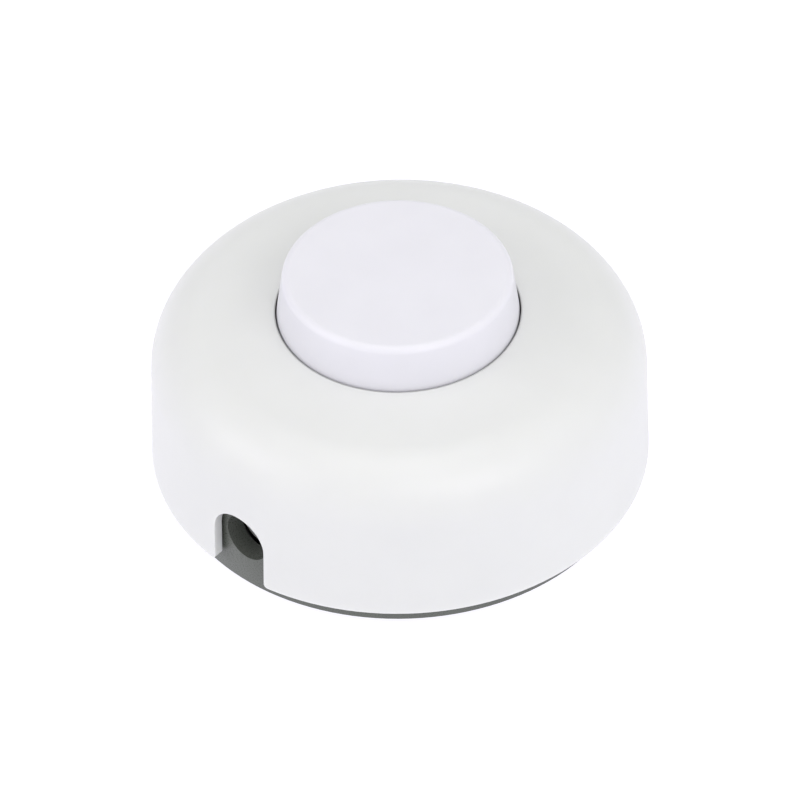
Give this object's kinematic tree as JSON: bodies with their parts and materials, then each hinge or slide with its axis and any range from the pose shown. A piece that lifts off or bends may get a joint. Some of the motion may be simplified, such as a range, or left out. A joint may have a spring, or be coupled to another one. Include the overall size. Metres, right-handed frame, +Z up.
{
  "type": "foot switch",
  "caption": "Round in-line foot switch: a white domed cover and a large push button on a grey base, with two opposite cord entries and a push-push ratchet inside.",
  "frame": {"origin": "centre of the foot ring, on the floor", "axes": "+Z up along the button's travel, +X along the cord line, out of the supply entry"},
  "size_m": [0.0654, 0.066, 0.0342],
  "materials": {
    "cover_white": "fine matt-gloss moulded ABS, white with a faint green cast",
    "button_white": "fine matt grain moulded ABS, cool white",
    "base_grey": "matt dark grey moulded plastic",
    "housing_black": "matt black moulded plastic",
    "wheel_natural": "smooth natural acetal plastic",
    "plunger_natural": "smooth natural acetal plastic",
    "brass": "bright turned and stamped brass",
    "spring_bronze": "phosphor bronze strip",
    "zinc_steel": "zinc-plated steel",
    "spring_steel": "drawn spring steel wire"
  },
  "bodies": {
    "housing": {"cover": "cover_white", "base": "base_grey", "contact_housing": "housing_black", "housing_lid": "housing_black", "live_in_terminal": "brass", "live_out_terminal": "brass", "neutral_in_terminal": "brass", "neutral_out_terminal": "brass", "live_in_contact_leaf": "spring_bronze", "live_out_contact_leaf": "spring_bronze", "neutral_in_contact_leaf": "spring_bronze", "neutral_out_contact_leaf": "spring_bronze", "cord_in_clamp_strap": "zinc_steel", "cord_out_clamp_strap": "zinc_steel", "cord_in_clamp_bar": "zinc_steel", "cord_out_clamp_bar": "zinc_steel", "clamp_screws": "zinc_steel", "cover_screws": "zinc_steel", "lid_screws": "zinc_steel", "terminal_screws": "zinc_steel", "wheel_pin": "spring_steel", "thrust_washer": "spring_steel", "return_spring": "spring_steel"},
    "button": {"foot_button": "button_white", "ratchet_plunger": "plunger_natural"},
    "wheel": {"index_wheel": "wheel_natural", "upper_contact_star": "brass", "lower_contact_star": "brass"}
  },
  "joints": [
    {"name": "button_press", "type": "slide", "parent": "housing", "child": "button", "axis": [0, 0, -1], "range_m": [0, 0.0045], "stiffness_N_per_m": 1500, "springref_m": -0.003, "deforming": ["return_spring"]},
    {"name": "wheel_index", "type": "hinge", "parent": "housing", "child": "wheel", "pos_m": [0, 0, 0.008], "axis": [0, 0, 1], "range_deg": [0, 45]}
  ],
  "couplings": [
    {"joint": "wheel_index", "follows": "button_press", "rad_per_m": 174.53}
  ]
}
